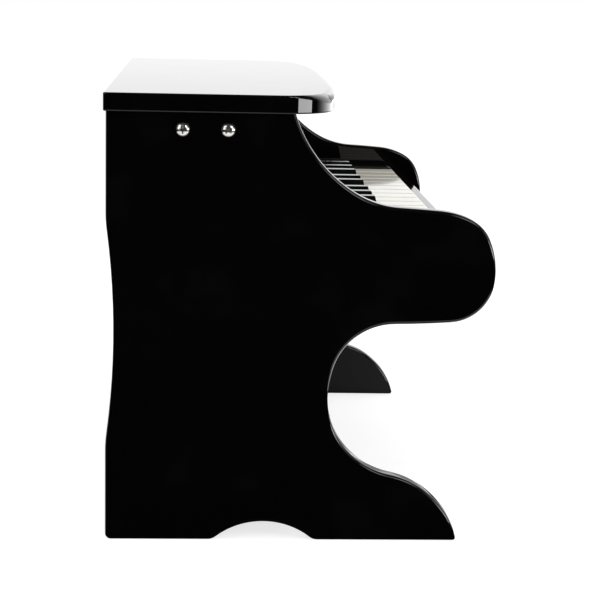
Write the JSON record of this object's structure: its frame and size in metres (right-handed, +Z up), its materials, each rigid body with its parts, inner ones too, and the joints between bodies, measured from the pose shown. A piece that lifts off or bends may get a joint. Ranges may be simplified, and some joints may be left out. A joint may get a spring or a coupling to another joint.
{
  "type": "toy piano",
  "caption": "Small black upright toy piano with scrolled side panels, a flat lid and a keyboard whose keys tip on a rod and strike chime rods.",
  "frame": {"origin": "middle of the base on the floor", "axes": "+X along the keyboard towards the high notes, +Y towards the back, +Z up"},
  "size_m": [0.426, 0.2591, 0.3],
  "materials": {
    "case_lacquer": "black gloss lacquer on board",
    "back_paint": "black satin paint on board",
    "inner_wood": "bare planed softwood",
    "felt": "pressed wool felt",
    "white_key": "off-white gloss lacquer",
    "black_key": "black gloss lacquer",
    "steel_rod": "drawn steel",
    "chime_iron": "as cast",
    "side_screw": "bright nickel plate",
    "small_screw": "zinc plate"
  },
  "bodies": {
    "case": {"left_side_panel": "case_lacquer", "right_side_panel": "case_lacquer", "lid": "case_lacquer", "upper_front_panel": "case_lacquer", "lower_front_panel": "case_lacquer", "key_bed": "case_lacquer", "key_slip": "case_lacquer", "left_cheek_block": "case_lacquer", "right_cheek_block": "case_lacquer", "back_panel": "back_paint", "bottom_board": "back_paint", "top_rail": "inner_wood", "left_pivot_bracket": "inner_wood", "right_pivot_bracket": "inner_wood", "balance_rail": "inner_wood", "rear_rest_rail": "inner_wood", "left_back_cleat": "inner_wood", "right_back_cleat": "inner_wood", "left_bed_cleat": "inner_wood", "right_bed_cleat": "inner_wood", "front_stop_felt": "felt", "rear_rest_felt": "felt", "key_pivot_rod": "steel_rod", "chime_rods": "steel_rod", "chime_block": "chime_iron", "side_screws": "side_screw", "lid_screws": "small_screw", "chime_screws": "small_screw", "back_panel_screws": "small_screw"},
    "white_key_01": {"white_key_01": "white_key"},
    "black_key_01": {"black_key_01": "black_key"},
    "white_key_02": {"white_key_02": "white_key"},
    "black_key_02": {"black_key_02": "black_key"},
    "white_key_03": {"white_key_03": "white_key"},
    "white_key_04": {"white_key_04": "white_key"},
    "black_key_03": {"black_key_03": "black_key"},
    "white_key_05": {"white_key_05": "white_key"},
    "black_key_04": {"black_key_04": "black_key"},
    "white_key_06": {"white_key_06": "white_key"},
    "black_key_05": {"black_key_05": "black_key"},
    "white_key_07": {"white_key_07": "white_key"},
    "white_key_08": {"white_key_08": "white_key"},
    "black_key_06": {"black_key_06": "black_key"},
    "white_key_09": {"white_key_09": "white_key"},
    "black_key_07": {"black_key_07": "black_key"},
    "white_key_10": {"white_key_10": "white_key"},
    "white_key_11": {"white_key_11": "white_key"},
    "black_key_08": {"black_key_08": "black_key"},
    "white_key_12": {"white_key_12": "white_key"},
    "black_key_09": {"black_key_09": "black_key"},
    "white_key_13": {"white_key_13": "white_key"},
    "black_key_10": {"black_key_10": "black_key"},
    "white_key_14": {"white_key_14": "white_key"},
    "white_key_15": {"white_key_15": "white_key"}
  },
  "joints": [
    {"name": "white_key_01_press", "type": "hinge", "parent": "case", "child": "white_key_01", "pos_m": [0, 0.03605, 0.2007], "axis": [1, 0, 0], "range_deg": [0, 2.9], "stiffness_Nm_per_rad": 0.4, "springref_deg": -8.02},
    {"name": "black_key_01_press", "type": "hinge", "parent": "case", "child": "black_key_01", "pos_m": [0, 0.03605, 0.2007], "axis": [1, 0, 0], "range_deg": [0, 2.9], "stiffness_Nm_per_rad": 0.4, "springref_deg": -8.02},
    {"name": "white_key_02_press", "type": "hinge", "parent": "case", "child": "white_key_02", "pos_m": [0, 0.03605, 0.2007], "axis": [1, 0, 0], "range_deg": [0, 2.9], "stiffness_Nm_per_rad": 0.4, "springref_deg": -8.02},
    {"name": "black_key_02_press", "type": "hinge", "parent": "case", "child": "black_key_02", "pos_m": [0, 0.03605, 0.2007], "axis": [1, 0, 0], "range_deg": [0, 2.9], "stiffness_Nm_per_rad": 0.4, "springref_deg": -8.02},
    {"name": "white_key_03_press", "type": "hinge", "parent": "case", "child": "white_key_03", "pos_m": [0, 0.03605, 0.2007], "axis": [1, 0, 0], "range_deg": [0, 2.9], "stiffness_Nm_per_rad": 0.4, "springref_deg": -8.02},
    {"name": "white_key_04_press", "type": "hinge", "parent": "case", "child": "white_key_04", "pos_m": [0, 0.03605, 0.2007], "axis": [1, 0, 0], "range_deg": [0, 2.9], "stiffness_Nm_per_rad": 0.4, "springref_deg": -8.02},
    {"name": "black_key_03_press", "type": "hinge", "parent": "case", "child": "black_key_03", "pos_m": [0, 0.03605, 0.2007], "axis": [1, 0, 0], "range_deg": [0, 2.9], "stiffness_Nm_per_rad": 0.4, "springref_deg": -8.02},
    {"name": "white_key_05_press", "type": "hinge", "parent": "case", "child": "white_key_05", "pos_m": [0, 0.03605, 0.2007], "axis": [1, 0, 0], "range_deg": [0, 2.9], "stiffness_Nm_per_rad": 0.4, "springref_deg": -8.02},
    {"name": "black_key_04_press", "type": "hinge", "parent": "case", "child": "black_key_04", "pos_m": [0, 0.03605, 0.2007], "axis": [1, 0, 0], "range_deg": [0, 2.9], "stiffness_Nm_per_rad": 0.4, "springref_deg": -8.02},
    {"name": "white_key_06_press", "type": "hinge", "parent": "case", "child": "white_key_06", "pos_m": [0, 0.03605, 0.2007], "axis": [1, 0, 0], "range_deg": [0, 2.9], "stiffness_Nm_per_rad": 0.4, "springref_deg": -8.02},
    {"name": "black_key_05_press", "type": "hinge", "parent": "case", "child": "black_key_05", "pos_m": [0, 0.03605, 0.2007], "axis": [1, 0, 0], "range_deg": [0, 2.9], "stiffness_Nm_per_rad": 0.4, "springref_deg": -8.02},
    {"name": "white_key_07_press", "type": "hinge", "parent": "case", "child": "white_key_07", "pos_m": [0, 0.03605, 0.2007], "axis": [1, 0, 0], "range_deg": [0, 2.9], "stiffness_Nm_per_rad": 0.4, "springref_deg": -8.02},
    {"name": "white_key_08_press", "type": "hinge", "parent": "case", "child": "white_key_08", "pos_m": [0, 0.03605, 0.2007], "axis": [1, 0, 0], "range_deg": [0, 2.9], "stiffness_Nm_per_rad": 0.4, "springref_deg": -8.02},
    {"name": "black_key_06_press", "type": "hinge", "parent": "case", "child": "black_key_06", "pos_m": [0, 0.03605, 0.2007], "axis": [1, 0, 0], "range_deg": [0, 2.9], "stiffness_Nm_per_rad": 0.4, "springref_deg": -8.02},
    {"name": "white_key_09_press", "type": "hinge", "parent": "case", "child": "white_key_09", "pos_m": [0, 0.03605, 0.2007], "axis": [1, 0, 0], "range_deg": [0, 2.9], "stiffness_Nm_per_rad": 0.4, "springref_deg": -8.02},
    {"name": "black_key_07_press", "type": "hinge", "parent": "case", "child": "black_key_07", "pos_m": [0, 0.03605, 0.2007], "axis": [1, 0, 0], "range_deg": [0, 2.9], "stiffness_Nm_per_rad": 0.4, "springref_deg": -8.02},
    {"name": "white_key_10_press", "type": "hinge", "parent": "case", "child": "white_key_10", "pos_m": [0, 0.03605, 0.2007], "axis": [1, 0, 0], "range_deg": [0, 2.9], "stiffness_Nm_per_rad": 0.4, "springref_deg": -8.02},
    {"name": "white_key_11_press", "type": "hinge", "parent": "case", "child": "white_key_11", "pos_m": [0, 0.03605, 0.2007], "axis": [1, 0, 0], "range_deg": [0, 2.9], "stiffness_Nm_per_rad": 0.4, "springref_deg": -8.02},
    {"name": "black_key_08_press", "type": "hinge", "parent": "case", "child": "black_key_08", "pos_m": [0, 0.03605, 0.2007], "axis": [1, 0, 0], "range_deg": [0, 2.9], "stiffness_Nm_per_rad": 0.4, "springref_deg": -8.02},
    {"name": "white_key_12_press", "type": "hinge", "parent": "case", "child": "white_key_12", "pos_m": [0, 0.03605, 0.2007], "axis": [1, 0, 0], "range_deg": [0, 2.9], "stiffness_Nm_per_rad": 0.4, "springref_deg": -8.02},
    {"name": "black_key_09_press", "type": "hinge", "parent": "case", "child": "black_key_09", "pos_m": [0, 0.03605, 0.2007], "axis": [1, 0, 0], "range_deg": [0, 2.9], "stiffness_Nm_per_rad": 0.4, "springref_deg": -8.02},
    {"name": "white_key_13_press", "type": "hinge", "parent": "case", "child": "white_key_13", "pos_m": [0, 0.03605, 0.2007], "axis": [1, 0, 0], "range_deg": [0, 2.9], "stiffness_Nm_per_rad": 0.4, "springref_deg": -8.02},
    {"name": "black_key_10_press", "type": "hinge", "parent": "case", "child": "black_key_10", "pos_m": [0, 0.03605, 0.2007], "axis": [1, 0, 0], "range_deg": [0, 2.9], "stiffness_Nm_per_rad": 0.4, "springref_deg": -8.02},
    {"name": "white_key_14_press", "type": "hinge", "parent": "case", "child": "white_key_14", "pos_m": [0, 0.03605, 0.2007], "axis": [1, 0, 0], "range_deg": [0, 2.9], "stiffness_Nm_per_rad": 0.4, "springref_deg": -8.02},
    {"name": "white_key_15_press", "type": "hinge", "parent": "case", "child": "white_key_15", "pos_m": [0, 0.03605, 0.2007], "axis": [1, 0, 0], "range_deg": [0, 2.9], "stiffness_Nm_per_rad": 0.4, "springref_deg": -8.02}
  ]
}
